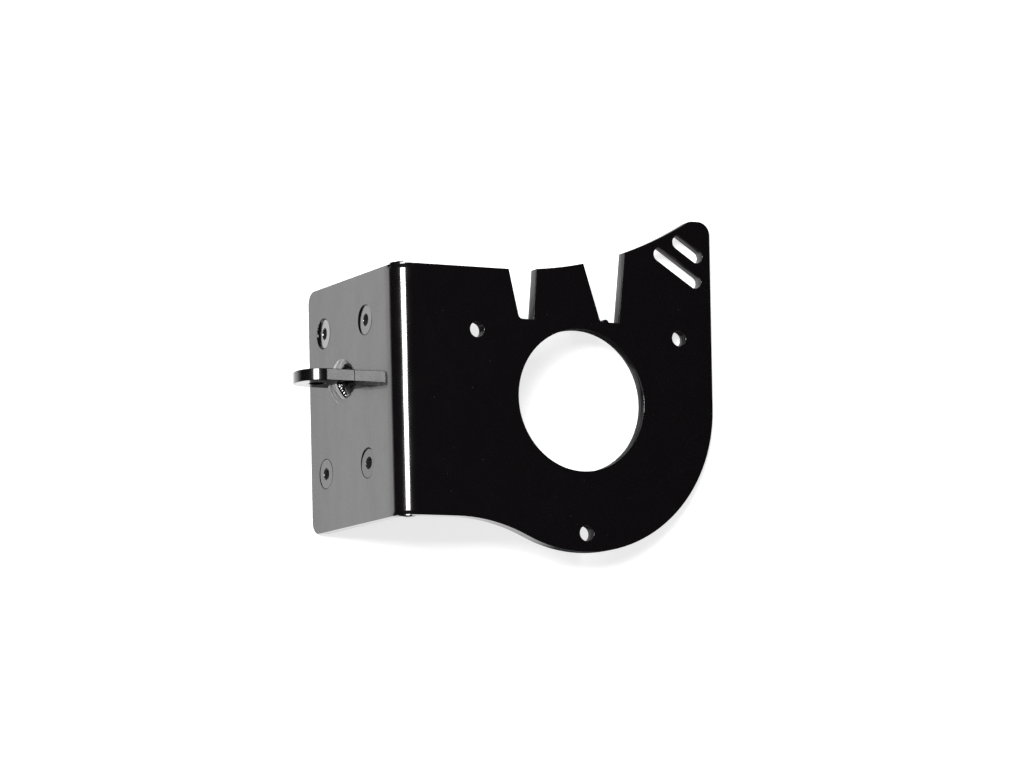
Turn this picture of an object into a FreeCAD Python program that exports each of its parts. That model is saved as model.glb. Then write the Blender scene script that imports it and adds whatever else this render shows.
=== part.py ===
import FreeCAD, Part
import math
import os

V = FreeCAD.Vector

# Motor mounting bracket: one 5 mm sheet bent to a right angle, a flat lug welded to the flange
# and four countersunk screws in the flange. Millimetres.
# Origin: centre of the motor pilot hole, on the front face of the motor plate.
# +X runs along the motor plate away from the bend, +Y along the flange away from the front face,
# +Z up along the bend.

# Sheet
sheet = 5.0
bend_inner_r = 2.5
bend_bulge = 0.7
bend_bulge_half = 3.0

# Motor plate, measured from the pilot centre
pilot_r = 30.0
pilot_to_flange = 85.6
plate_top = 53.9
plate_bottom = 50.3
disc_rim = 7.9
bottom_run = 18.0

# Motor bolt holes
bolt_circle_r = 56.0
bolt_count = 3
bolt_hole_r = 3.3
bolt_first_angle = 30.5

# Ear with the two slots
top_run = 42.5
top_sweep_r = 173.0
ear_top = 79.6
ear_flat = 3.0
ear_corner_r = 5.5
slot_width = 5.9
outer_slot_travel = 10.3
inner_slot_travel = 20.2
slot_pitch = 9.9
slot_inset = 8.9
slot_shift = 1.2
slot_angle = 32.2

# Notches in the top edge, each with a web between its floor and the pilot hole
notch_corner_r = 2.0
left_notch_web = 3.1
left_notch_x = -28.8
left_notch_floor = 6.7
left_notch_leans = (11.7, 5.7)
right_notch_web = 3.6
right_notch_x = 10.0
right_notch_floor = 9.1
right_notch_leans = (16.6, 6.9)
nub_r = 1.5
nub_height = 1.2
nub_from_wall = 2.6

# Flange
flange_depth = 84.8
flange_corner_r = 5.5

# Flange screws: 90 degree countersunk heads with a hex socket
screw_r = 3.0
screw_neck_r = 2.7
screw_length = 16.0
screw_clearance = 0.2
head_r = 6.25
head_ring_gap = 0.3
deep_seat = 0.4
socket_flats = 4.0
socket_depth = 2.6
screw_tip_chamfer = 0.8
screw_depth_pitch = 40.0
screw_height_pitch = 60.0
screws_from_corner = 50.2
screws_above_pilot = 4.2
socket_turns = {(-1, -1): 12.0, (-1, 1): 40.0, (1, -1): 25.0, (1, 1): 5.0}

# Lug, a flat eye that stands out from the flange
lug_thickness = 5.0
lug_width = 22.0
lug_reach = 21.9
lug_corner_r = 9.0
lug_tip_r = 14.0
lug_hole_r = 3.5
lug_hole_reach = 12.1
lug_near_edge = 41.0
lug_above_pilot = 12.35
lug_edge_round = 0.3

# Weld beads at the lug's root, each a row of ripples: (place from the lug's near edge, leg up the
# flange) of the bead's end, a crown, a valley, a crown and so on to its other end. The leg along
# the lug is a share of the leg up the flange.
upper_weld_leg_ratio = 0.5
lower_weld_leg_ratio = 0.7
upper_weld_ripples = ((2.3, 0.0), (3.8, 3.4), (6.0, 4.3), (8.2, 6.0), (10.2, 5.7), (12.2, 6.5), (14.2, 4.6),
                      (15.8, 3.4), (16.6, 0.0))
lower_weld_ripples = ((0.4, 0.0), (2.4, 4.0), (5.4, 5.2), (8.2, 7.2), (10.4, 7.0), (12.8, 8.0), (15.0, 5.8),
                      (17.0, 4.4), (18.0, 0.0))

# Sizes that follow from the ones above
bend_outer_r = bend_inner_r + sheet
flange_x = -pilot_to_flange
bend_end_x = flange_x + bend_outer_r
disc_r = bolt_circle_r + disc_rim
seat_r = head_r + head_ring_gap
reach_past = 5.0


def at(distance, degrees):
    """Point in the motor plate's plane at a distance and angle from the pilot centre."""
    angle = math.radians(degrees)
    return V(distance * math.cos(angle), 0, distance * math.sin(angle))


def arc(start, centre, end, toward):
    """Arc from start to end about a centre, through the side that the toward point is on."""
    radius = (start - centre).Length
    middle = centre + (toward - centre).normalize() * radius
    return Part.Arc(start, middle, end).toShape()


def through_sheet(face):
    """Solid of the sheet's thickness behind a face in the motor plate's front plane."""
    return face.extrude(V(0, sheet, 0))


def cutter(face):
    """Tool that runs past both faces of the motor plate."""
    tool = face.extrude(V(0, sheet + 2 * reach_past, 0))
    tool.translate(V(0, -reach_past, 0))
    return tool


def ear_centres():
    """Centres of the ear's two corner rounds, the inner one tangent to the top sweep."""
    sweep = V(bend_end_x + top_run, 0, plate_top + top_sweep_r)
    inner_z = ear_top - ear_corner_r
    run = math.sqrt((top_sweep_r + ear_corner_r) ** 2 - (sweep.z - inner_z) ** 2)
    inner = V(sweep.x + run, 0, inner_z)
    outer = inner + V(ear_flat, 0, 0)
    return sweep, inner, outer


def motor_plate_outline():
    """Outline of the flat motor plate from the bend's tangent line, without its openings."""
    sweep, inner, outer = ear_centres()
    up = V(0, 0, 1)

    top_start = V(bend_end_x, 0, plate_top)
    sweep_start = V(sweep.x, 0, plate_top)
    sweep_end = sweep + (inner - sweep).normalize() * top_sweep_r
    flat_start = inner + up * ear_corner_r
    flat_end = outer + up * ear_corner_r

    # The right side is the common tangent of the ear's outer round and the disc.
    lean = math.atan2(outer.z, outer.x) - math.acos((disc_r - ear_corner_r) / outer.Length)
    side = V(math.cos(lean), 0, math.sin(lean))
    side_start = outer + side * ear_corner_r
    side_end = side * disc_r

    # The bottom sweep is tangent to the bottom edge and to the disc.
    bottom_x = bend_end_x + bottom_run
    sweep_r = (bottom_x ** 2 + plate_bottom ** 2 - disc_r ** 2) / (2 * (disc_r - plate_bottom))
    bottom_centre = V(bottom_x, 0, -plate_bottom - sweep_r)
    disc_end = V(bottom_centre).normalize() * disc_r
    bottom_start = V(bottom_x, 0, -plate_bottom)
    bottom_end = V(bend_end_x, 0, -plate_bottom)
    disc_low = side_end + disc_end

    edges = [
        Part.makeLine(top_start, sweep_start),
        arc(sweep_start, sweep, sweep_end, (sweep_start + sweep_end) / 2),
        arc(sweep_end, inner, flat_start, (sweep_end + flat_start) / 2),
        Part.makeLine(flat_start, flat_end),
        arc(flat_end, outer, side_start, (flat_end + side_start) / 2),
        Part.makeLine(side_start, side_end),
        arc(side_end, V(0, 0, 0), disc_end, disc_low),
        arc(disc_end, bottom_centre, bottom_start, (disc_end + bottom_start) / 2),
        Part.makeLine(bottom_start, bottom_end),
        Part.makeLine(bottom_end, top_start),
    ]
    return Part.Wire(edges)


def slot_cutter(centre, travel):
    """Round-ended slot that falls to the right at the slot angle."""
    half = slot_width / 2
    left, right = V(-travel / 2, 0, 0), V(travel / 2, 0, 0)
    up = V(0, 0, half)
    wire = Part.Wire([
        Part.makeLine(left + up, right + up),
        arc(right + up, right, right - up, right + V(half, 0, 0)),
        Part.makeLine(right - up, left - up),
        arc(left - up, left, left + up, left - V(half, 0, 0)),
    ])
    tool = cutter(Part.Face(wire))
    tool.rotate(V(0, 0, 0), V(0, 1, 0), slot_angle)
    tool.translate(centre)
    return tool


def ear_slot_cutters():
    """The two parallel slots, stepped inwards from the ear's outer corner."""
    outer_round = ear_centres()[2]
    down = math.radians(slot_angle)
    along = V(math.cos(down), 0, -math.sin(down))
    across = V(math.sin(down), 0, math.cos(down))
    outer_centre = outer_round - across * slot_inset - along * slot_shift
    inner_centre = outer_centre - across * slot_pitch
    return [slot_cutter(outer_centre, outer_slot_travel), slot_cutter(inner_centre, inner_slot_travel)]


def notch_cutter(web, left_x, floor, leans):
    """Notch that opens upwards: a flat floor, leaning walls and a rounded left floor corner."""
    floor_z = pilot_r + web
    height = ear_top + reach_past - floor_z
    left_shift, right_shift = (height * math.tan(math.radians(lean)) for lean in leans)
    low_left = V(left_x, 0, floor_z)
    low_right = low_left + V(floor, 0, 0)
    high_left = low_left + V(-left_shift, 0, height)
    high_right = low_right + V(right_shift, 0, height)
    tool = cutter(Part.Face(Part.makePolygon([low_left, low_right, high_right, high_left, low_left])))
    corner = [edge for edge in tool.Edges
              if all(abs(vertex.X - low_left.x) < 1e-6 and abs(vertex.Z - low_left.z) < 1e-6
                     for vertex in edge.Vertexes)]
    return tool.makeFillet(notch_corner_r, corner)


def cut_nub():
    """Small nub that the cut leaves on the floor of the right notch."""
    nub = Part.makeCylinder(nub_r, sheet, V(0, 0, 0), V(0, 1, 0))
    floor_z = pilot_r + right_notch_web
    nub.translate(V(right_notch_x + nub_from_wall, 0, floor_z + nub_height - nub_r))
    return nub


def motor_plate():
    """Flat motor plate with its pilot, bolt holes, slots and notches."""
    plate = through_sheet(Part.Face(motor_plate_outline()))
    tools = [Part.makeCylinder(pilot_r, sheet + 2 * reach_past, V(0, -reach_past, 0), V(0, 1, 0))]
    for index in range(bolt_count):
        centre = at(bolt_circle_r, bolt_first_angle + index * 360 / bolt_count)
        tools.append(Part.makeCylinder(bolt_hole_r, sheet + 2 * reach_past,
                                       centre - V(0, reach_past, 0), V(0, 1, 0)))
    tools += ear_slot_cutters()
    tools.append(notch_cutter(left_notch_web, left_notch_x, left_notch_floor, left_notch_leans))
    tools.append(notch_cutter(right_notch_web, right_notch_x, right_notch_floor, right_notch_leans))
    for tool in tools:
        plate = plate.cut(tool)
    return plate.fuse(cut_nub())


def flange():
    """Flat flange beyond the bend, with rounded free corners."""
    height = plate_top + plate_bottom
    plate = Part.makeBox(sheet, flange_depth - bend_outer_r, height,
                         V(flange_x, bend_outer_r, -plate_bottom))
    corners = [edge for edge in plate.Edges
               if abs(edge.tangentAt(edge.FirstParameter).x) > 0.99
               and edge.CenterOfMass.y > flange_depth - 1e-3]
    return plate.makeFillet(flange_corner_r, corners)


def bend(low, high):
    """Quarter ring of the bend between two heights."""
    axis = V(flange_x + bend_outer_r, bend_outer_r, low)
    outer = Part.makeCylinder(bend_outer_r, high - low, axis, V(0, 0, 1), 90)
    inner = Part.makeCylinder(bend_inner_r, high - low, axis, V(0, 0, 1), 90)
    ring = outer.cut(inner)
    ring.rotate(axis, V(0, 0, 1), 180)
    return ring


def angle_section(low, high):
    """Plain angle section over the bend and a short run of both legs, between two heights."""
    leg = bend_bulge_half * math.sqrt(2)
    along_plate = Part.makeBox(leg, sheet, high - low, V(bend_end_x, 0, low))
    along_flange = Part.makeBox(sheet, leg, high - low, V(flange_x, bend_outer_r, low))
    return bend(low, high).fuse([along_plate, along_flange])


def bend_bulges():
    """Metal pushed out at both ends of the bend, as low round-backed swellings."""
    drum_r = (bend_bulge_half ** 2 + bend_bulge ** 2) / (2 * bend_bulge)
    corner = V(flange_x, 0, 0)
    inwards = V(1, 1, 0)
    back = corner - inwards * reach_past
    length = (bend_outer_r + 2 * reach_past) * math.sqrt(2) + reach_past
    top_drum = Part.makeCylinder(drum_r, length, back + V(0, 0, plate_top + bend_bulge - drum_r), inwards)
    low_drum = Part.makeCylinder(drum_r, length, back - V(0, 0, plate_bottom + bend_bulge - drum_r), inwards)
    overlap = bend_bulge
    top = angle_section(plate_top - overlap, plate_top + 2 * bend_bulge).common(top_drum)
    low = angle_section(-plate_bottom - 2 * bend_bulge, -plate_bottom + overlap).common(low_drum)
    return [top, low]


def screw_places():
    """Each flange screw's point on the flange's outer face, and how deep its head is seated."""
    places = []
    for depth_side in (-1, 1):
        for height_side in (-1, 1):
            point = V(flange_x,
                      screws_from_corner + depth_side * screw_depth_pitch / 2,
                      screws_above_pilot + height_side * screw_height_pitch / 2)
            sunk = deep_seat if (depth_side, height_side) == (1, 1) else 0.0
            places.append((point, sunk, socket_turns[(depth_side, height_side)]))
    return places


def turned(profile, point):
    """Solid of revolution about the X direction through a point, from (depth, radius) pairs."""
    corners = [point + V(depth, 0, radius) for depth, radius in profile]
    face = Part.Face(Part.makePolygon(corners + corners[:1]))
    return face.revolve(point, V(1, 0, 0), 360)


def screw_seat(point, sunk):
    """Countersunk clearance hole for one flange screw."""
    hole_r = screw_r + screw_clearance
    cone = seat_r - hole_r
    return turned([(-reach_past, 0), (-reach_past, seat_r), (sunk, seat_r), (sunk + cone, hole_r),
                   (sheet + reach_past, hole_r), (sheet + reach_past, 0)], point)


def hexagon_face(flats):
    """Hexagon about the origin, square to the X direction."""
    corner_r = flats / math.sqrt(3)
    angles = [math.radians(60 * side) for side in range(7)]
    return Part.Face(Part.makePolygon([V(0, corner_r * math.cos(angle), corner_r * math.sin(angle))
                                       for angle in angles]))


def screw(point, sunk, turn):
    """Countersunk screw: rim, cone on the seat's slope, neck in the sheet, thread and socket."""
    cone_end = sunk + head_ring_gap + head_r - screw_r
    thread_start = sunk + sheet
    tip = sunk + screw_length
    body = turned([(sunk, 0), (sunk, head_r), (sunk + head_ring_gap, head_r), (cone_end, screw_r),
                   (cone_end, screw_neck_r), (thread_start, screw_neck_r), (thread_start, screw_r),
                   (tip - screw_tip_chamfer, screw_r), (tip, screw_r - screw_tip_chamfer), (tip, 0)],
                  point)
    hexagon = hexagon_face(socket_flats)
    corner_r = socket_flats / math.sqrt(3)
    drill_point = Part.makeCone(corner_r, 0, corner_r / 2, V(socket_depth, 0, 0), V(1, 0, 0))
    drill_point = drill_point.common(hexagon.extrude(V(screw_length, 0, 0)))
    socket = hexagon.extrude(V(socket_depth, 0, 0)).fuse(drill_point)
    socket.rotate(V(0, 0, 0), V(1, 0, 0), turn)
    socket.translate(point + V(sunk, 0, 0))
    return body.cut(socket)


def bracket_plate():
    """The whole bent sheet as one solid."""
    solid = motor_plate().fuse([flange(), bend(-plate_bottom, plate_top)] + bend_bulges())
    for point, sunk, _ in screw_places():
        solid = solid.cut(screw_seat(point, sunk))
    return solid.removeSplitter()


def lug_outline(root, half):
    """Straight sides from the flange's outer face, two corner arcs and a flatter arc at the tip."""
    tip_centre = root - V(lug_reach - lug_tip_r, 0, 0)
    aside = half - lug_corner_r
    run = math.sqrt((lug_tip_r - lug_corner_r) ** 2 - aside ** 2)
    edges = []
    ends = []
    for side in (-1, 1):
        centre = tip_centre + V(-run, side * aside, 0)
        side_end = centre + V(0, side * lug_corner_r, 0)
        tip_end = tip_centre + (centre - tip_centre).normalize() * lug_tip_r
        edges.append(Part.makeLine(root + V(0, side * half, 0), side_end))
        edges.append(arc(side_end, centre, tip_end, (side_end + tip_end) / 2))
        ends.append(tip_end)
    edges.append(arc(ends[0], tip_centre, ends[1], root - V(lug_reach, 0, 0)))
    edges.append(Part.makeLine(root - V(0, half, 0), root + V(0, half, 0)))
    return Part.Wire(Part.sortEdges(edges)[0])


def lug():
    """Flat eye that stands out from the flange's outer face, with one hole."""
    half = lug_width / 2
    root = V(flange_x, lug_near_edge + half, lug_above_pilot - lug_thickness / 2)
    blank = Part.Face(lug_outline(root, half)).extrude(V(0, 0, lug_thickness))
    rim = [edge for edge in blank.Edges
           if edge.BoundBox.ZLength < 1e-6 and edge.BoundBox.XLength > 1e-6]
    blank = blank.makeFillet(lug_edge_round, rim)
    return blank.cut(Part.makeCylinder(lug_hole_r, lug_thickness, root - V(lug_hole_reach, 0, 0), V(0, 0, 1)))


def weld_bead(ripples, leg_ratio, upwards):
    """Fillet weld in the corner of the flange and the lug: a rippled, flattened quarter turn."""
    side = 1 if upwards else -1
    root = V(flange_x, lug_near_edge, lug_above_pilot + side * lug_thickness / 2)
    points = [root + V(0, place, side * leg) for place, leg in ripples]
    edges = [Part.Arc(*points[first:first + 3]).toShape() for first in range(0, len(points) - 1, 2)]
    edges.append(Part.makeLine(points[-1], points[0]))
    bead = Part.Face(Part.Wire(edges)).revolve(root, V(0, -side, 0), 90)
    flatten = FreeCAD.Matrix()
    flatten.A11 = leg_ratio
    flatten.A14 = flange_x * (1 - leg_ratio)
    return bead.transformGeometry(flatten)


def save(node, shape):
    """Write one node's STEP file and print its solids and volume."""
    shape.exportStep("parts/" + node + ".step")
    print(node, "solids", len(shape.Solids), "volume", round(shape.Volume, 1), "valid", shape.isValid())


os.makedirs("parts", exist_ok=True)
save("bracket_plate", bracket_plate())
save("lug", lug())
save("lug_weld_upper", weld_bead(upper_weld_ripples, upper_weld_leg_ratio, True))
save("lug_weld_lower", weld_bead(lower_weld_ripples, lower_weld_leg_ratio, False))
save("flange_screws", Part.makeCompound([screw(*place) for place in screw_places()]))
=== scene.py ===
import math

import bpy
from mathutils import Matrix, Vector
from mathutils import noise as field


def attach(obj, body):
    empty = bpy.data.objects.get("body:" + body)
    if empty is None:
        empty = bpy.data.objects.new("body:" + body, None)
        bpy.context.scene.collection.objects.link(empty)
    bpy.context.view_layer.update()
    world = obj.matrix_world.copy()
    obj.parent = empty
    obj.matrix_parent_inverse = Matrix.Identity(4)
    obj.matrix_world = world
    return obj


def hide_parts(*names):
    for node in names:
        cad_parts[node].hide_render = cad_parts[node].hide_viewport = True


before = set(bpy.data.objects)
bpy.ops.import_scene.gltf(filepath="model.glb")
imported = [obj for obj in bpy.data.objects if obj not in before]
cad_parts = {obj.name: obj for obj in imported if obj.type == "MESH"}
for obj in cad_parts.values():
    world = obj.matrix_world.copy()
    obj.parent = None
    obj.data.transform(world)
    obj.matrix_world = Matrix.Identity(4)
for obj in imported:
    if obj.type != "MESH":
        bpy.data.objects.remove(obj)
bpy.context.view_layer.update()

MM = 0.001

# Camera: set from the photograph's vanishing lines and the pilot hole
CAMERA_PLACE = Vector((-0.79209, -1.40066, -0.22001))
CAMERA_RIGHT = Vector((0.88071, -0.47291, -0.02665))
CAMERA_UP = Vector((-0.04303, -0.13592, 0.98978))
CAMERA_BACK = Vector((-0.47170, -0.87056, -0.14006))
CAMERA_LENS = 136.385
CAMERA_SENSOR = 36.0
CAMERA_REACH = 20.0

# Table: the plane through the flange's free edge and the motor plate's right rim
TABLE_POINT = Vector((-0.0856, 0.0850, 0.0))
TABLE_NORMAL = Vector((-0.466, -0.885, 0.0)).normalized()
TABLE_ALONG = Vector((0.885, -0.466, 0.0)).normalized()
TABLE_SIZE = 3.0
TABLE_COLOUR = (0.72, 0.72, 0.72, 1.0)
TABLE_SEEN = 0.70
# Strength of the table's painted glow, which reflections see instead of its lit surface
TABLE_PAINTED_GLOW = 1.47
# Painted reflection of the table: it fades out a short way left of the object and dips a little at the
# flange's free edge as painted contact shade. Its brightness along the table, from the flange's free edge:
# (metres, share)
TABLE_FADE = ((-0.30, 0.0), (-0.25, 0.34), (-0.17, 0.42), (-0.115, 0.52),
              (-0.085, 1.0), (-0.03, 0.98), (0.0, 0.87), (0.04, 0.97))

# Soft light beside and above the camera; the azimuth runs from -Y towards -X
KEY_AZIMUTH = 40.0
KEY_ELEVATION = 8.7
KEY_DISTANCE = 1.5
KEY_WIDTH = 0.72
KEY_HEIGHT = 0.40
KEY_RADIANCE = 33.0

WORLD_FILL = 0.30

# Sizes of the object that the finer pieces are fitted to
FLANGE_X = -85.6 * MM
SHEET = 5.0 * MM
BEND_OUTER_R = 7.5 * MM
SCREWS_CENTRE = (50.2 * MM, 4.2 * MM)
SCREW_PITCH = (40.0 * MM, 60.0 * MM)
LUG_NEAR_EDGE = 41.0 * MM
LUG_MIDDLE = 12.35 * MM
LUG_HALF_THICKNESS = 2.5 * MM


# Node helpers

def preset(node, **values):
    """Set a node's inputs, named with underscores for spaces."""
    for key, value in values.items():
        node.inputs[key.replace("_", " ")].default_value = value
    return node


def plug(tree, shader, **sources):
    """Link sockets to a shader's inputs, named with underscores for spaces."""
    for key, source in sources.items():
        tree.links.new(source, shader.inputs[key.replace("_", " ")])


def new_material(name):
    """Node material with its main shader; returns (material, tree, shader)."""
    material = bpy.data.materials.new(name)
    material.use_nodes = True
    tree = material.node_tree
    return material, tree, tree.nodes["Principled BSDF"]


def geometry(tree, output):
    """Position in the row frame in metres, Normal or Backfacing of a point of the surface."""
    return tree.nodes.new("ShaderNodeNewGeometry").outputs[output]


def coordinates(tree, source):
    """X, Y and Z of a vector socket."""
    node = tree.nodes.new("ShaderNodeSeparateXYZ")
    tree.links.new(source, node.inputs[0])
    return node.outputs


def stretched(tree, source, scale):
    """A vector scaled along each direction, so that noise on it runs in streaks."""
    node = preset(tree.nodes.new("ShaderNodeMapping"), Scale=scale)
    tree.links.new(source, node.inputs["Vector"])
    return node.outputs["Vector"]


def noise(tree, source, scale, detail, rough):
    """Cloudy noise from 0 to 1 on a vector socket."""
    node = preset(tree.nodes.new("ShaderNodeTexNoise"), Scale=scale, Detail=detail, Roughness=rough)
    tree.links.new(source, node.inputs["Vector"])
    return node.outputs["Fac"]


def remap(tree, source, span, results, smooth=False):
    """Turn a span of values into a span of results, held at both ends."""
    node = tree.nodes.new("ShaderNodeMapRange")
    node.clamp = True
    node.interpolation_type = "SMOOTHSTEP" if smooth else "LINEAR"
    preset(node, From_Min=span[0], From_Max=span[1], To_Min=results[0], To_Max=results[1])
    tree.links.new(source, node.inputs["Value"])
    return node.outputs["Result"]


def math_node(tree, operation, *values):
    """Arithmetic on sockets or numbers."""
    node = tree.nodes.new("ShaderNodeMath")
    node.operation = operation
    for socket, value in zip(node.inputs, values):
        if isinstance(value, (int, float)):
            socket.default_value = value
        else:
            tree.links.new(value, socket)
    return node.outputs[0]


def above(tree, value, limit):
    """1 where a value is greater than the limit, 0 elsewhere."""
    return math_node(tree, "GREATER_THAN", value, limit)


def below(tree, value, limit):
    """1 where a value is less than the limit, 0 elsewhere."""
    return math_node(tree, "LESS_THAN", value, limit)


def size_of(tree, value):
    return math_node(tree, "ABSOLUTE", value)


def total(tree, a, b):
    return math_node(tree, "ADD", a, b)


def difference(tree, a, b):
    return math_node(tree, "SUBTRACT", a, b)


def larger(tree, a, b):
    return math_node(tree, "MAXIMUM", a, b)


def product(tree, *factors):
    """Product of several sockets or numbers."""
    result = factors[0]
    for factor in factors[1:]:
        result = math_node(tree, "MULTIPLY", result, factor)
    return result


def mixed(tree, factor, a, b):
    """Colour mix of two RGB triples or sockets."""
    node = tree.nodes.new("ShaderNodeMix")
    node.data_type = "RGBA"
    tree.links.new(factor, node.inputs["Factor"])
    for socket, value in ((node.inputs[6], a), (node.inputs[7], b)):
        if isinstance(value, tuple):
            socket.default_value = (*value, 1.0)
        else:
            tree.links.new(value, socket)
    return node.outputs[2]


def mixed_value(tree, factor, a, b):
    """Mix of two numbers or sockets."""
    node = tree.nodes.new("ShaderNodeMix")
    tree.links.new(factor, node.inputs["Factor"])
    for socket, value in ((node.inputs[2], a), (node.inputs[3], b)):
        if isinstance(value, (int, float)):
            socket.default_value = value
        else:
            tree.links.new(value, socket)
    return node.outputs[0]


SPECK_CORE = 0.5


def specks(tree, source, scale, radius, share):
    """Small round specks: 1 inside one, 0 elsewhere; share is the part of the cells that hold one."""
    cells = preset(tree.nodes.new("ShaderNodeTexVoronoi"), Scale=scale)
    tree.links.new(source, cells.inputs["Vector"])
    inside = remap(tree, cells.outputs["Distance"], (radius * SPECK_CORE, radius), (1.0, 0.0))
    split = tree.nodes.new("ShaderNodeSeparateColor")
    tree.links.new(cells.outputs["Color"], split.inputs["Color"])
    return product(tree, inside, below(tree, split.outputs["Red"], share))


def bumped(tree, height, strength, distance, onto=None):
    """Normal of a bump, laid over another bump's normal if one is given."""
    node = preset(tree.nodes.new("ShaderNodeBump"), Strength=strength, Distance=distance)
    tree.links.new(height, node.inputs["Height"])
    if onto is not None:
        tree.links.new(onto, node.inputs["Normal"])
    return node.outputs["Normal"]


# Gloss black paint. Noise layers are (scale per metre, detail, roughness), specks are
# (scale per metre, radius, share of cells) and bumps are (strength, distance).
PAINT_COLOURS = ((0.0034, 0.0028, 0.0033), (0.0041, 0.0034, 0.0039))
DUST_COLOUR = (0.020, 0.020, 0.020)
PAINT_IOR = 1.5
PAINT_SPECULAR = 0.25
PAINT_COAT_ROUGH = 0.03
PAINT_CLOUDS = (40.0, 4.0, 0.6)
COARSE_DUST = (230.0, 0.075, 0.14)
FINE_DUST = (700.0, 0.09, 0.04)
DUST_ROUGH = 0.2
DUST_BUMP = (0.5, 0.0001)
FILM = (120.0, 2.0, 0.5)
FILM_SHARES = (0.3, 0.7)
FILM_ROUGH = (0.22, 0.30)
WAVES = (70.0, 1.0, 0.4)
WAVE_BUMP = (1.0, 0.00012)
PEEL = (330.0, 2.0, 0.4)
PEEL_BUMP = (0.12, 0.00012)
ROLLING = (300.0, 2.0, 0.5)
ROLLING_STRETCH = (1.0, 1.0, 0.05)
ROLLING_BUMP = (0.12, 0.00006)
# The flange curves in before the bend, and the bend's outer face dips towards its two ends
TRUE_HEIGHT_BUMP = (1.0, 1.0)
ROLL_IN_Y = (2.0 * MM, 11.6 * MM)
ROLL_IN_HEIGHTS = (-0.42 * MM, 0.0)
BEND_X = (-79.5 * MM, -76.5 * MM)
BEND_Y = (6.0 * MM, 8.5 * MM)
TOP_DIP_Z = (51.7 * MM, 53.6 * MM)
TOP_DIP_HEIGHTS = (0.0, -0.34 * MM)
LOW_DIP_Z = (-50.2 * MM, -48.5 * MM)
LOW_DIP_HEIGHTS = (-0.28 * MM, 0.0)


def paint_film(name):
    """Gloss black paint over rolled sheet: faint rolling marks, a little orange peel, dust in the film.

    Returns the material, its tree, its shader and the film's roughness, which is still to be linked.
    """
    material, tree, shader = new_material(name)
    where = geometry(tree, "Position")
    place = coordinates(tree, where)
    dust = larger(tree, specks(tree, where, *COARSE_DUST), specks(tree, where, *FINE_DUST))
    paint = mixed(tree, noise(tree, where, *PAINT_CLOUDS), *PAINT_COLOURS)
    film = remap(tree, noise(tree, where, *FILM), FILM_SHARES, FILM_ROUGH)

    roll_in = remap(tree, place["Y"], ROLL_IN_Y, ROLL_IN_HEIGHTS, smooth=True)
    on_bend = product(tree, remap(tree, place["X"], BEND_X, (1.0, 0.0), smooth=True),
                      remap(tree, place["Y"], BEND_Y, (1.0, 0.0), smooth=True))
    dips = total(tree, remap(tree, place["Z"], TOP_DIP_Z, TOP_DIP_HEIGHTS, smooth=True),
                 remap(tree, place["Z"], LOW_DIP_Z, LOW_DIP_HEIGHTS, smooth=True))
    normal = bumped(tree, total(tree, roll_in, product(tree, on_bend, dips)), *TRUE_HEIGHT_BUMP)
    normal = bumped(tree, noise(tree, where, *WAVES), *WAVE_BUMP, normal)
    normal = bumped(tree, noise(tree, where, *PEEL), *PEEL_BUMP, normal)
    rolling = noise(tree, stretched(tree, where, ROLLING_STRETCH), *ROLLING)
    normal = bumped(tree, rolling, *ROLLING_BUMP, normal)
    normal = bumped(tree, dust, *DUST_BUMP, normal)

    preset(shader, IOR=PAINT_IOR, Coat_IOR=PAINT_IOR, Coat_Roughness=PAINT_COAT_ROUGH,
           Specular_IOR_Level=PAINT_SPECULAR)
    plug(tree, shader, Base_Color=mixed(tree, dust, paint, DUST_COLOUR), Normal=normal, Coat_Normal=normal)
    return material, tree, shader, total(tree, film, product(tree, dust, DUST_ROUGH))


# Cut walls of the sheet, told by their normal; the flange's and its seats' lie left of the plate
WALL_NORMAL_Y = 0.45
PLATE_FROM_X = -77.9 * MM
FLANGE_EDGE_NORMAL_X = 0.45
SEAT_NORMAL_X = 0.9
SEATS_FROM_Y = 9.0 * MM
WALL_SPECULAR = 0.0
WALL_COAT_IOR = 2.2
WALL_COAT_ROUGH = 0.09
DULL_ROUGH = 0.25
# Their shine: from front to rear in the holes below and in the notches and slots above, with lines
# along the cut and pitted spots, less on walls that face down
LOW_TO_HIGH_Z = (30.0 * MM, 48.0 * MM)
LOW_WALL_Y = (1.2 * MM, 4.4 * MM)
LOW_WALL_SHINE = (0.04, 0.20)
HIGH_WALL_Y = (0.8 * MM, 4.2 * MM)
HIGH_WALL_SHINE = (0.26, 0.66)
CUT_LINES = (1500.0, 2.0, 0.6)
CUT_LINES_STRETCH = (0.06, 1.0, 0.06)
CUT_LINES_SHARES = (0.36, 0.64)
CUT_LINES_SHINE = (-0.04, 0.26)
CUT_SPOTS = (900.0, 3.0, 0.7)
CUT_SPOTS_LOSS = 0.08
DOWN_NORMAL_Z = (-0.80, -0.45)
DOWN_LOSS = (0.32, 0.0)
LEAST_SHINE = 0.02
# The outer edge at the plate's bottom: glossy up to the bend, dark under the disc
BOTTOM_EDGE_BELOW_Z = -44.0 * MM
BOTTOM_EDGE_NORMAL_Z = -0.3
BOTTOM_EDGE_X = (-26.0 * MM, -14.0 * MM)
BOTTOM_EDGE_SHINE = (0.9, 0.045)
BOTTOM_HOLE_HALF = 4.5 * MM
BOTTOM_HOLE_FROM_Z = -61.0 * MM
# Faint upright streaks in the film's shine
STREAKS = (160.0, 3.0, 0.6)
STREAKS_STRETCH = (1.0, 1.0, 0.04)
STREAKS_SHARES = (0.35, 0.65)
STREAKS_SHINE = (0.95, 1.0)


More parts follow.
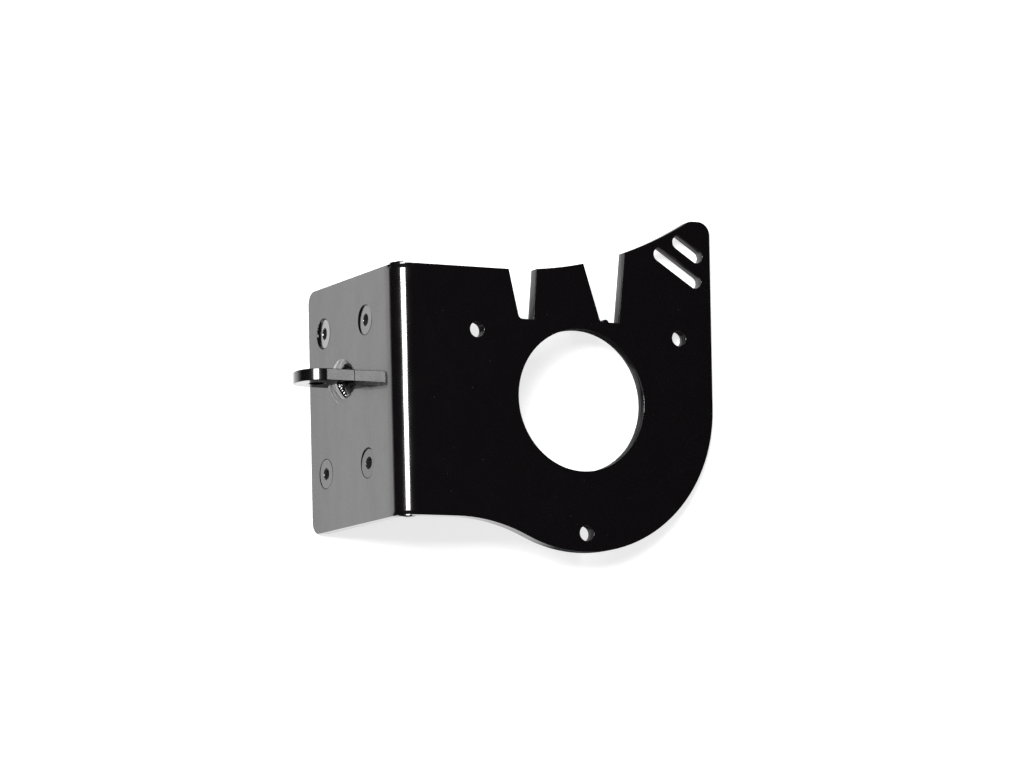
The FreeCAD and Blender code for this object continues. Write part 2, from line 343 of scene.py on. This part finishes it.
def wall_mask(tree, place, facing):
    """1 on the sheet's cut walls and in the flange's countersunk seats."""
    plate = above(tree, place["X"], PLATE_FROM_X)
    sideways = size_of(tree, facing["X"])
    edge = product(tree, below(tree, size_of(tree, facing["Y"]), WALL_NORMAL_Y),
                   larger(tree, plate, below(tree, sideways, FLANGE_EDGE_NORMAL_X)))
    seat = product(tree, below(tree, sideways, SEAT_NORMAL_X), above(tree, place["Y"], SEATS_FROM_Y),
                   difference(tree, 1.0, plate))
    return larger(tree, edge, seat)


def wall_shine(tree, where, place, facing):
    """Shine of the cut walls."""
    shine = mixed_value(tree, remap(tree, place["Z"], LOW_TO_HIGH_Z, (0.0, 1.0), smooth=True),
                        remap(tree, place["Y"], LOW_WALL_Y, LOW_WALL_SHINE, smooth=True),
                        remap(tree, place["Y"], HIGH_WALL_Y, HIGH_WALL_SHINE))
    lines = noise(tree, stretched(tree, where, CUT_LINES_STRETCH), *CUT_LINES)
    shine = total(tree, shine, remap(tree, lines, CUT_LINES_SHARES, CUT_LINES_SHINE))
    shine = difference(tree, shine, product(tree, noise(tree, where, *CUT_SPOTS), CUT_SPOTS_LOSS))
    shine = difference(tree, shine, remap(tree, facing["Z"], DOWN_NORMAL_Z, DOWN_LOSS))
    by_hole = product(tree, below(tree, size_of(tree, place["X"]), BOTTOM_HOLE_HALF),
                      above(tree, place["Z"], BOTTOM_HOLE_FROM_Z))
    bottom_edge = product(tree, below(tree, place["Z"], BOTTOM_EDGE_BELOW_Z),
                          below(tree, facing["Z"], BOTTOM_EDGE_NORMAL_Z), difference(tree, 1.0, by_hole))
    bottom_shine = remap(tree, place["X"], BOTTOM_EDGE_X, BOTTOM_EDGE_SHINE)
    return mixed_value(tree, bottom_edge, larger(tree, shine, LEAST_SHINE), bottom_shine)


def sheet_paint():
    """The sheet's paint: streaked on its faces, dull on its cut walls."""
    material, tree, shader, rough = paint_film("gloss_black_paint")
    where = geometry(tree, "Position")
    place = coordinates(tree, where)
    facing = coordinates(tree, geometry(tree, "Normal"))
    wall = wall_mask(tree, place, facing)
    streaks = noise(tree, stretched(tree, where, STREAKS_STRETCH), *STREAKS)
    film_shine = remap(tree, streaks, STREAKS_SHARES, STREAKS_SHINE)
    plug(tree, shader,
         Coat_Weight=mixed_value(tree, wall, film_shine, wall_shine(tree, where, place, facing)),
         Specular_IOR_Level=mixed_value(tree, wall, PAINT_SPECULAR, WALL_SPECULAR),
         Coat_Roughness=mixed_value(tree, wall, PAINT_COAT_ROUGH, WALL_COAT_ROUGH),
         Coat_IOR=mixed_value(tree, wall, PAINT_IOR, WALL_COAT_IOR),
         Roughness=total(tree, rough, product(tree, wall, DULL_ROUGH)))
    return material


# The lug's underside: dull and spattered on the weld's side of a slanting, ragged line
UNDER_NORMAL_Z = -0.7
SPATTER_SLOPES = (2.16, -1.1)
SPATTER_LINE = (-275.0 * MM, -273.0 * MM)
SPATTER_RAGS = (400.0, 3.0, 0.5)
SPATTER_RAG_SIZE = 2.0 * MM
SPATTER = (500.0, 3.0, 0.7)
SPATTER_SHARES = (0.50, 0.62)
SPATTER_SHINE = (0.04, 0.35)
SPATTER_SPECULAR = 0.05


def lug_finish():
    """The lug's paint, dull underneath beside the weld."""
    material, tree, shader, rough = paint_film("lug_paint")
    where = geometry(tree, "Position")
    place = coordinates(tree, where)
    facing = coordinates(tree, geometry(tree, "Normal"))
    across = total(tree, product(tree, place["X"], SPATTER_SLOPES[0]),
                   product(tree, place["Y"], SPATTER_SLOPES[1]))
    ragged = total(tree, across, product(tree, noise(tree, where, *SPATTER_RAGS), SPATTER_RAG_SIZE))
    dull = product(tree, below(tree, facing["Z"], UNDER_NORMAL_Z),
                   remap(tree, ragged, SPATTER_LINE, (0.0, 1.0)))
    spatter = remap(tree, noise(tree, where, *SPATTER), SPATTER_SHARES, SPATTER_SHINE)
    plug(tree, shader,
         Coat_Weight=mixed_value(tree, dull, 1.0, spatter),
         Specular_IOR_Level=mixed_value(tree, dull, PAINT_SPECULAR, SPATTER_SPECULAR),
         Roughness=total(tree, rough, product(tree, dull, DULL_ROUGH)))
    return material


# Weld paint
WELD_COLOURS = ((0.003, 0.003, 0.003), (0.014, 0.014, 0.013))
WELD_PATCHES = (420.0, 3.0, 0.6)
WELD_COLOUR_SHARES = (0.45, 0.65)
WELD_ROUGH_SHARES = (0.3, 0.7)
WELD_ROUGH = (0.10, 0.30)
WELD_LUMPS = (500.0, 2.0, 0.5)
WELD_BUMP = (0.35, 0.0003)
WELD_COAT_BUMP = (0.35, 0.0001)
WELD_IOR = 1.6
WELD_COAT_ROUGH = 0.05
# The end at the lug's near edge is dull and black, up to a ragged line
WELD_BLACK_Y = (47.1 * MM, 47.7 * MM)
WELD_BLACK_RAGS = 1.2 * MM
WELD_SHINE = (1.0, 0.12)
WELD_SPECULAR = (0.5, 0.08)


def painted_weld():
    """Lumpy weld metal under a thin coat: bright crowns where the gloss catches, dark hollows."""
    material, tree, shader = new_material("painted_weld")
    where = geometry(tree, "Position")
    patch = noise(tree, where, *WELD_PATCHES)
    lumps = noise(tree, where, *WELD_LUMPS)
    ragged = total(tree, coordinates(tree, where)["Y"], product(tree, patch, WELD_BLACK_RAGS))
    black_end = remap(tree, ragged, WELD_BLACK_Y, (1.0, 0.0))
    preset(shader, IOR=WELD_IOR, Coat_IOR=WELD_IOR, Coat_Roughness=WELD_COAT_ROUGH)
    plug(tree, shader,
         Base_Color=mixed(tree, remap(tree, patch, WELD_COLOUR_SHARES, (0.0, 1.0)), *WELD_COLOURS),
         Roughness=remap(tree, patch, WELD_ROUGH_SHARES, WELD_ROUGH),
         Normal=bumped(tree, lumps, *WELD_BUMP),
         Coat_Normal=bumped(tree, lumps, *WELD_COAT_BUMP),
         Coat_Weight=mixed_value(tree, black_end, *WELD_SHINE),
         Specular_IOR_Level=mixed_value(tree, black_end, *WELD_SPECULAR))
    return material


# Screw paint
SCREW_COLOURS = ((0.004, 0.004, 0.004), (0.030, 0.030, 0.029))
SCREW_GRIME = (900.0, 4.0, 0.7)
SCREW_ROUGH_SHARES = (0.3, 0.7)
SCREW_ROUGH = (0.16, 0.30)
SCREW_BUMP = (0.25, 0.00008)
SCREW_COAT_ROUGH = 0.05
# The screw above this depth and height has lost some of its paint, and shines more
BARE_FROM_Y = 60.0 * MM
BARE_FROM_Z = 20.0 * MM
BARE_SPECULAR = 1.0
BARE_COAT_IOR = 1.7
# The sockets are dull; they lie inwards of this, on a painted and on the bare screw
SOCKET_FROM_X = (-84.8 * MM, -84.5 * MM)
SOCKET_SPECULAR = 0.1
SOCKET_SHINE = 0.12


def painted_screw():
    """Screw heads under the same paint, a little rougher, with pitted colour."""
    material, tree, shader = new_material("painted_screw")
    where = geometry(tree, "Position")
    place = coordinates(tree, where)
    grime = noise(tree, where, *SCREW_GRIME)
    pitted = bumped(tree, grime, *SCREW_BUMP)
    bare = product(tree, above(tree, place["Y"], BARE_FROM_Y), above(tree, place["Z"], BARE_FROM_Z))
    socket = above(tree, place["X"], mixed_value(tree, bare, *SOCKET_FROM_X))
    specular = mixed_value(tree, bare, PAINT_SPECULAR, BARE_SPECULAR)
    preset(shader, IOR=PAINT_IOR, Specular_IOR_Level=PAINT_SPECULAR, Coat_Roughness=SCREW_COAT_ROUGH)
    plug(tree, shader,
         Base_Color=mixed(tree, grime, *SCREW_COLOURS),
         Roughness=remap(tree, grime, SCREW_ROUGH_SHARES, SCREW_ROUGH),
         Normal=pitted,
         Coat_Normal=pitted,
         Coat_Weight=mixed_value(tree, socket, 1.0, SOCKET_SHINE),
         Coat_IOR=mixed_value(tree, bare, PAINT_IOR, BARE_COAT_IOR),
         Specular_IOR_Level=mixed_value(tree, socket, specular, SOCKET_SPECULAR))
    return material


def chosen_shader(tree, factor, first, second):
    """The second shader where the factor is 1, the first elsewhere."""
    node = tree.nodes.new("ShaderNodeMixShader")
    for socket, source in zip(node.inputs, (factor, first, second)):
        tree.links.new(source, socket)
    return node.outputs[0]


def glow(tree, strength):
    """White light of a given strength."""
    node = tree.nodes.new("ShaderNodeEmission")
    tree.links.new(strength, node.inputs["Strength"])
    return node.outputs[0]


def painted_table_reflection(tree):
    """Painted glow of the table that reflections see, with no shadows in it; it fades out a short way left
    of the object and dips a little at the flange's free edge as painted contact shade.
    """
    along = tree.nodes.new("ShaderNodeVectorMath")
    along.operation = "DOT_PRODUCT"
    tree.links.new(geometry(tree, "Position"), along.inputs[0])
    along.inputs[1].default_value = TABLE_ALONG
    first, last = TABLE_FADE[0][0], TABLE_FADE[-1][0]
    offset = TABLE_POINT.dot(TABLE_ALONG)
    ramp = tree.nodes.new("ShaderNodeValToRGB")
    tree.links.new(remap(tree, along.outputs["Value"], (first + offset, last + offset), (0.0, 1.0)),
                   ramp.inputs[0])
    stops = ramp.color_ramp.elements
    while len(stops) < len(TABLE_FADE):
        stops.new(0.5)
    for stop, (distance, share) in zip(stops, TABLE_FADE):
        stop.position = (distance - first) / (last - first)
        stop.color = (share, share, share, 1.0)
    return product(tree, ramp.outputs["Color"], TABLE_PAINTED_GLOW)


def table_material():
    """White table: keeps shadows and shows white to the camera, shows only a painted glow in reflections,
    and is clear from behind.
    """
    material = bpy.data.materials.new("white_table")
    material.use_nodes = True
    tree = material.node_tree
    tree.nodes.clear()
    ray = tree.nodes.new("ShaderNodeLightPath").outputs
    matt = preset(tree.nodes.new("ShaderNodeBsdfDiffuse"), Color=TABLE_COLOUR)
    seen = tree.nodes.new("ShaderNodeAddShader")
    tree.links.new(matt.outputs[0], seen.inputs[0])
    tree.links.new(glow(tree, product(tree, ray["Is Camera Ray"], TABLE_SEEN)), seen.inputs[1])
    # Reflections see the painted glow, not the lit table
    lit = chosen_shader(tree, ray["Is Glossy Ray"], seen.outputs[0], glow(tree, painted_table_reflection(tree)))
    clear = tree.nodes.new("ShaderNodeBsdfTransparent").outputs[0]
    from_behind = product(tree, ray["Is Camera Ray"], geometry(tree, "Backfacing"))
    output = tree.nodes.new("ShaderNodeOutputMaterial")
    tree.links.new(chosen_shader(tree, from_behind, lit, clear), output.inputs["Surface"])
    return material


# Object: the sheet and the lug

SHEET_ROUND = 0.35 * MM
LUG_ROUND = 0.2 * MM
ROUND_SEGMENTS = 3
ROUND_FROM_ANGLE = math.radians(35)
MERGE_WITHIN = 0.002 * MM
FLAT_WITHIN = math.radians(0.2)
FACE_WEIGHT = 50


def rounded_edges(node, material, width):
    """Give a CAD node its finish and softly rounded edges."""
    node.data.materials.clear()
    node.data.materials.append(material)
    merge = node.modifiers.new("merge", "WELD")
    merge.merge_threshold = MERGE_WITHIN
    flat = node.modifiers.new("flat", "DECIMATE")
    flat.decimate_type = "DISSOLVE"
    flat.angle_limit = FLAT_WITHIN
    bevel = node.modifiers.new("edge_round", "BEVEL")
    bevel.width = width
    bevel.segments = ROUND_SEGMENTS
    bevel.limit_method = "ANGLE"
    bevel.angle_limit = ROUND_FROM_ANGLE
    bevel.use_clamp_overlap = True
    even = node.modifiers.new("even_normals", "WEIGHTED_NORMAL")
    even.mode = "FACE_AREA"
    even.weight = FACE_WEIGHT


rounded_edges(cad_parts["bracket_plate"], sheet_paint(), SHEET_ROUND)
lug_paint = lug_finish()
rounded_edges(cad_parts["lug"], lug_paint, LUG_ROUND)


# Object: screws, welds and lips with their finer shape

def mesh_object(name, points, faces, material):
    mesh = bpy.data.meshes.new(name)
    mesh.from_pydata([tuple(p) for p in points], [], faces)
    mesh.update()
    mesh.materials.append(material)
    made = bpy.data.objects.new(name, mesh)
    bpy.context.scene.collection.objects.link(made)
    return made


def piece(name, shape, material, node, sharp):
    """A closed smooth mesh on the body, which stands for a CAD node if one is named."""
    made = mesh_object(name, *shape, material)
    made.data.shade_smooth()
    made.data.set_sharp_from_angle(angle=math.radians(sharp))
    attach(made, "root")
    if node is not None:
        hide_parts(node)


def ring_faces(base, rings, count, turned=False):
    """Quads between closed rings of points that follow each other from a base index."""
    faces = []
    for ring in range(rings - 1):
        for k in range(count):
            a = base + ring * count + k
            b = base + ring * count + (k + 1) % count
            faces.append((a, a + count, b + count, b) if turned else (a, b, b + count, a + count))
    return faces


SCREW_SEGMENTS = 48
SOCKET_FLATS = 4.0 * MM
SOCKET_MOUTH_R = 2.65 * MM
# Ledge between the mouth's chamfer and the hexagon: (radius, depth)
SOCKET_LEDGE = (2.45 * MM, 0.55 * MM)
SOCKET_LEDGE_FALL = 0.2 * MM
SOCKET_DEPTH = 2.6 * MM
SOCKET_POINT = 0.9 * MM
HEAD_R = 6.25 * MM
SCREW_R = 3.0 * MM
NECK_R = 2.7 * MM
# Depths where the head's cone ends and where the neck begins
NECK_FROM = (3.55 * MM, 3.56 * MM)
SCREW_LENGTH = 16.0 * MM
TIP_CHAMFER = 0.8 * MM
THREAD_PITCH = 1.0 * MM
THREAD_DEPTH = 0.55 * MM
THREAD_HALF_GROOVE = 0.42
THREAD_RINGS = 8
# Rounded rims in mm: (past the mouth's or the head's radius, depth)
MOUTH_RIM = ((-0.05, 0.08), (0.0, 0.0), (0.1, 0.0))
HEAD_RIM = ((-0.45, 0.0), (-0.35, 0.0), (-0.12, 0.05), (0.0, 0.16), (0.0, 0.30))
# (depth side, height side): socket turn, far side deeper, top deeper (degrees), depth (mm)
SCREW_SETS = {
    (-1, -1): (12.0, -2.8, 2.6, 0.42),
    (-1, 1): (40.0, 2.3, 1.6, 0.36),
    (1, -1): (25.0, 0.3, -0.8, 0.08),
    (1, 1): (5.0, 4.8, 0.6, 0.55),
}
SCREW_SHARP = 30


def circle(radius):
    return lambda angle, depth: radius


def hexagon(angle, depth):
    """Radius of a hexagon at an angle."""
    from_flat = (angle + math.pi / 6) % (math.pi / 3) - math.pi / 6
    return SOCKET_FLATS / 2 / math.cos(from_flat)


def thread(angle, depth):
    """Radius of a thread that fades out at both ends."""
    turn = ((depth - SHEET) / THREAD_PITCH - angle / (2 * math.pi)) % 1.0
    groove = max(0.0, 1.0 - abs(turn - 0.5) / THREAD_HALF_GROOVE)
    fade = min(1.0, max(0.0, (depth - SHEET) / THREAD_PITCH))
    tip = max(0.0, depth - (SCREW_LENGTH - TIP_CHAMFER))
    return SCREW_R - THREAD_DEPTH * groove * fade - tip


def screw_rings():
    """(depth, radius at an angle) from the socket's bottom over the head to the tip."""
    ledge_r, ledge_depth = SOCKET_LEDGE
    rings = [(SOCKET_DEPTH, hexagon), (ledge_depth + SOCKET_LEDGE_FALL, hexagon), (ledge_depth, hexagon),
             (ledge_depth, circle(ledge_r))]
    rings += [(depth * MM, circle(SOCKET_MOUTH_R + past * MM)) for past, depth in MOUTH_RIM]
    rings += [(depth * MM, circle(HEAD_R + past * MM)) for past, depth in HEAD_RIM]
    rings += [(NECK_FROM[0], circle(SCREW_R)), (NECK_FROM[1], circle(NECK_R)), (SHEET, circle(NECK_R))]
    count = round((SCREW_LENGTH - SHEET) / THREAD_PITCH * THREAD_RINGS)
    rings += [(SHEET + (SCREW_LENGTH - SHEET) * step / count, thread) for step in range(count + 1)]
    return rings


def screws():
    """The four countersunk screws: chamfered sockets, real threads, each seated a little differently."""
    points = []
    faces = []
    rings = screw_rings()
    for (depth_side, height_side), (turn, far, top, depth) in SCREW_SETS.items():
        centre = Vector((FLANGE_X + depth * MM,
                         SCREWS_CENTRE[0] + depth_side * SCREW_PITCH[0] / 2,
                         SCREWS_CENTRE[1] + height_side * SCREW_PITCH[1] / 2))
        place = (Matrix.Translation(centre) @ Matrix.Rotation(math.radians(-far), 4, "Z")
                 @ Matrix.Rotation(math.radians(top), 4, "Y"))
        base = len(points)
        for along, radius_at in rings:
            for k in range(SCREW_SEGMENTS):
                angle = 2 * math.pi * k / SCREW_SEGMENTS
                radius = radius_at(angle, along)
                shown = angle + math.radians(turn)
                points.append(place @ Vector((along, radius * math.cos(shown), radius * math.sin(shown))))
        faces += ring_faces(base, len(rings), SCREW_SEGMENTS)
        last = base + (len(rings) - 1) * SCREW_SEGMENTS
        socket_end, tip_end = len(points), len(points) + 1
        points.append(place @ Vector((SOCKET_DEPTH + SOCKET_POINT, 0, 0)))
        points.append(place @ Vector((SCREW_LENGTH, 0, 0)))
        for k in range(SCREW_SEGMENTS):
            after = (k + 1) % SCREW_SEGMENTS
            faces.append((base + after, base + k, socket_end))
            faces.append((last + k, last + after, tip_end))
    return points, faces


WELD_STEPS_ALONG = 72
WELD_STEPS_ROUND = 24
WELD_SINK = 0.15 * MM
WELD_SHARP = 60
# Sideways wander of the bead's rows, in radians from one leg to the other
WELD_WAVES = 17
# Swelling noise: stretch along and round the bead, then the finer layer's scale and share
SWELL_ALONG = 0.45
SWELL_ROUND = 2.2
FINE_SWELL_SCALE = 2.7
FINE_SWELL_SHARE = 0.5


def leg_at(stations, place):
    """Leg length of a bead from (place, leg) stations."""
    for (a, low), (b, high) in zip(stations, stations[1:]):
        if place <= b:
            return low + (high - low) * max(0.0, place - a) / (b - a)
    return 0.0


def bead(rise, reach, ridges, side, roundness, seed, lump, wave):
    """A freely laid bead in the corner of flange and lug: lumps, and ridges that run across it.

    rise and reach are the legs up the flange and along the lug, at mm from the lug's near edge;
    ridges are (place, lean, width, height). side is -1 below the lug and 1 above it, lump is the
    swelling's share of a leg and wave the rows' wander in mm.
    """
    start, end = rise[0][0], rise[-1][0]
    root_z = LUG_MIDDLE + side * LUG_HALF_THICKNESS
    points = []
    for i in range(WELD_STEPS_ALONG + 1):
        along = start + (end - start) * i / WELD_STEPS_ALONG
        for j in range(WELD_STEPS_ROUND + 1):
            turn = j / WELD_STEPS_ROUND
            angle = turn * math.pi / 2
            shift = wave * math.sin(turn * math.pi) * math.sin(turn * WELD_WAVES + seed)
            local = min(end, max(start, along + shift))
            spot = Vector((along * SWELL_ALONG, turn * SWELL_ROUND, seed))
            swell = (1 + lump * field.noise(spot)
                     + lump * FINE_SWELL_SHARE * field.noise(spot * FINE_SWELL_SCALE))
            for place, lean, width, height in ridges:
                off = (along - place - lean * turn) / width
                swell += height * math.exp(-off * off)
            up = leg_at(rise, local) * math.cos(angle) ** (2 / roundness) * swell * MM
            out = leg_at(reach, local) * math.sin(angle) ** (2 / roundness) * swell * MM
            points.append(Vector((FLANGE_X - out + WELD_SINK * math.cos(angle),
                                  LUG_NEAR_EDGE + along * MM,
                                  root_z + side * (up - WELD_SINK * math.sin(angle)))))
        points.append(Vector((FLANGE_X + WELD_SINK, LUG_NEAR_EDGE + along * MM, root_z - side * WELD_SINK)))
    row = WELD_STEPS_ROUND + 2
    faces = ring_faces(0, WELD_STEPS_ALONG + 1, row, turned=side > 0)
    near_end = tuple(range(row))
    far_end = tuple(range(WELD_STEPS_ALONG * row, (WELD_STEPS_ALONG + 1) * row))
    faces += [near_end, far_end[::-1]] if side > 0 else [near_end[::-1], far_end]
    return points, faces


# Legs of the beads: (mm from the lug's near edge, mm)
LOWER_RISE = ((0.0, 0.0), (0.5, 2.3), (1.8, 3.9), (4.8, 5.0), (6.7, 5.3), (9.6, 6.2), (12.6, 6.9),
              (14.5, 7.2), (16.4, 7.3), (17.2, 5.4), (17.7, 0.0))
LOWER_REACH = ((0.0, 0.0), (0.3, 0.1), (6.6, 2.4), (8.3, 4.4), (12.0, 4.5), (15.6, 4.9), (17.0, 3.6),
               (17.7, 0.0))
LOWER_RIDGES = ((12.2, -1.5, 1.6, -0.05), (9.0, -1.0, 0.5, 0.06))
UPPER_RISE = ((1.6, 0.0), (3.6, 1.8), (5.7, 3.5), (8.3, 5.2), (12.4, 6.2), (14.8, 6.0), (16.6, 4.9),
              (17.8, 0.0))
UPPER_REACH = ((1.6, 0.0), (2.0, 0.5), (6.4, 3.2), (12.4, 3.3), (15.0, 3.1), (16.8, 2.3), (17.8, 0.0))
UPPER_RIDGES = ((11.0, 1.2, 1.2, 0.04),)
# Flat scales on the lower bead's crest:
# (mm from the lug's near edge, reach, drop, half length, half width, lean)
SCALES = ((7.3, 3.75, 0.5, 0.55, 0.30, 55), (6.8, 3.0, 0.7, 0.60, 0.28, -65),
          (7.3, 2.75, 2.0, 0.72, 0.26, 25), (7.4, 2.25, 3.1, 0.50, 0.24, 40),
          (7.2, 1.6, 4.1, 0.66, 0.26, 15), (6.9, 1.0, 5.1, 0.42, 0.30, -30))
SCALE_HALF = 0.045 * MM
SCALE_NORMAL = Vector((-0.56, -0.83, 0.0)).normalized()
SCALE_STEPS = 12


def with_scales(points, faces):
    """Add small flat scales to a bead, half sunk in its crest."""
    upright = Vector((0, 0, 1))
    level = upright.cross(SCALE_NORMAL)
    row = 2 * SCALE_STEPS
    for along, reach, drop, half_length, half_width, lean in SCALES:
        centre = Vector((FLANGE_X - reach * MM, LUG_NEAR_EDGE + along * MM,
                         LUG_MIDDLE - LUG_HALF_THICKNESS - drop * MM))
        lean = math.radians(lean)
        long_way = upright * math.cos(lean) + level * math.sin(lean)
        wide_way = SCALE_NORMAL.cross(long_way)
        base = len(points)
        for ring in range(1, SCALE_STEPS):
            tilt = math.pi * ring / SCALE_STEPS
            for k in range(row):
                turn = math.pi * k / SCALE_STEPS
                points.append(centre + SCALE_NORMAL * SCALE_HALF * math.cos(tilt)
                              + long_way * half_length * MM * math.sin(tilt) * math.cos(turn)
                              + wide_way * half_width * MM * math.sin(tilt) * math.sin(turn))
        faces += ring_faces(base, SCALE_STEPS - 1, row, turned=True)
        front, rear = len(points), len(points) + 1
        points += [centre + SCALE_NORMAL * SCALE_HALF, centre - SCALE_NORMAL * SCALE_HALF]
        last = base + (SCALE_STEPS - 2) * row
        for k in range(row):
            after = (k + 1) % row
            faces.append((front, base + k, base + after))
            faces.append((rear, last + after, last + k))
    return points, faces


LIP_STEPS = 40
LIP_SIDES = 12
# Small curled lips at the bend's ends: (height, first angle, last angle, radius)
LIPS = ((54.15 * MM, 4, 40, 0.42 * MM), (54.05 * MM, 34, 66, 0.36 * MM), (-50.75 * MM, 38, 72, 0.42 * MM))
LIP_END_SHARE = 0.15
LIP_FULLNESS = 0.7
LIP_SINK_SHARE = 0.7
LIP_WAVE_HEIGHT = 0.12 * MM
LIP_WAVE_SCALE = 4
LIP_SHARP = 60


def lips():
    """Rolled-over metal along the bend's outer edge, as tapered rounds that follow the bend."""
    points = []
    faces = []
    upright = Vector((0, 0, 1))
    for height, first, last, thick in LIPS:
        base = len(points)
        for i in range(LIP_STEPS + 1):
            share = i / LIP_STEPS
            angle = math.radians(first + (last - first) * share)
            swell = math.sin(math.pi * share) ** LIP_FULLNESS
            radius = thick * (LIP_END_SHARE + (1 - LIP_END_SHARE) * swell)
            out = Vector((-math.cos(angle), -math.sin(angle), 0))
            centre = (Vector((FLANGE_X + BEND_OUTER_R, BEND_OUTER_R, height))
                      + out * (BEND_OUTER_R - thick * LIP_SINK_SHARE))
            centre.z += LIP_WAVE_HEIGHT * field.noise(Vector((share * LIP_WAVE_SCALE, first, 0)))
            for k in range(LIP_SIDES):
                turn = 2 * math.pi * k / LIP_SIDES
                points.append(centre + (out * math.cos(turn) + upright * math.sin(turn)) * radius)
        faces += ring_faces(base, LIP_STEPS + 1, LIP_SIDES, turned=True)
        end = base + LIP_STEPS * LIP_SIDES
        faces.append(tuple(range(base, base + LIP_SIDES)))
        faces.append(tuple(range(end, end + LIP_SIDES))[::-1])
    return points, faces


weld_paint = painted_weld()
lower_bead = with_scales(*bead(LOWER_RISE, LOWER_REACH, LOWER_RIDGES,
                               side=-1, roundness=1.35, seed=3.1, lump=0.035, wave=0.3))
upper_bead = bead(UPPER_RISE, UPPER_REACH, UPPER_RIDGES,
                  side=1, roundness=1.7, seed=8.4, lump=0.04, wave=0.15)
piece("screws_fine", screws(), painted_screw(), "flange_screws", SCREW_SHARP)
piece("weld_below", lower_bead, weld_paint, "lug_weld_lower", WELD_SHARP)
piece("weld_above", upper_bead, weld_paint, "lug_weld_upper", WELD_SHARP)
piece("bend_lips", lips(), lug_paint, None, LIP_SHARP)


# Stage, light and camera

def table():
    """The table's square, facing the object."""
    side = TABLE_NORMAL.cross(Vector((0, 0, 1))).normalized()
    up = side.cross(TABLE_NORMAL).normalized()
    corners = [TABLE_POINT + (side * x + up * y) * TABLE_SIZE / 2
               for x, y in ((-1, -1), (1, -1), (1, 1), (-1, 1))]
    made = mesh_object("table", corners, [(0, 1, 2, 3)], table_material())
    if made.data.polygons[0].normal.dot(TABLE_NORMAL) < 0:
        made.data.flip_normals()
    return made


def key_light():
    """Soft box that looks at the object's origin."""
    light = bpy.data.lights.new("key", "AREA")
    light.shape = "RECTANGLE"
    light.size = KEY_WIDTH
    light.size_y = KEY_HEIGHT
    light.energy = KEY_RADIANCE * math.pi * KEY_WIDTH * KEY_HEIGHT
    lamp = bpy.data.objects.new("key", light)
    bpy.context.scene.collection.objects.link(lamp)
    azimuth, elevation = math.radians(KEY_AZIMUTH), math.radians(KEY_ELEVATION)
    away = Vector((-math.sin(azimuth) * math.cos(elevation), -math.cos(azimuth) * math.cos(elevation),
                   math.sin(elevation)))
    lamp.location = away * KEY_DISTANCE
    lamp.rotation_euler = (-away).to_track_quat("-Z", "Y").to_euler()


def studio_world():
    """White to the camera, a weak fill on matt surfaces, black in reflections."""
    world = bpy.data.worlds.new("studio")
    bpy.context.scene.world = world
    world.use_nodes = True
    tree = world.node_tree
    tree.nodes.clear()
    ray = tree.nodes.new("ShaderNodeLightPath").outputs
    sky = tree.nodes.new("ShaderNodeBackground")
    fill = product(tree, ray["Is Diffuse Ray"], WORLD_FILL)
    tree.links.new(total(tree, ray["Is Camera Ray"], fill), sky.inputs["Strength"])
    output = tree.nodes.new("ShaderNodeOutputWorld")
    tree.links.new(sky.outputs[0], output.inputs["Surface"])


def add_camera():
    data = bpy.data.cameras.new("camera")
    data.lens = CAMERA_LENS
    data.sensor_width = CAMERA_SENSOR
    data.sensor_fit = "HORIZONTAL"
    data.clip_end = CAMERA_REACH
    camera = bpy.data.objects.new("camera", data)
    bpy.context.scene.collection.objects.link(camera)
    aim = Matrix((CAMERA_RIGHT, CAMERA_UP, CAMERA_BACK)).transposed().to_4x4()
    camera.matrix_world = Matrix.Translation(CAMERA_PLACE) @ aim
    bpy.context.scene.camera = camera


table()
key_light()
studio_world()
add_camera()

bpy.context.scene.view_settings.view_transform = "Standard"
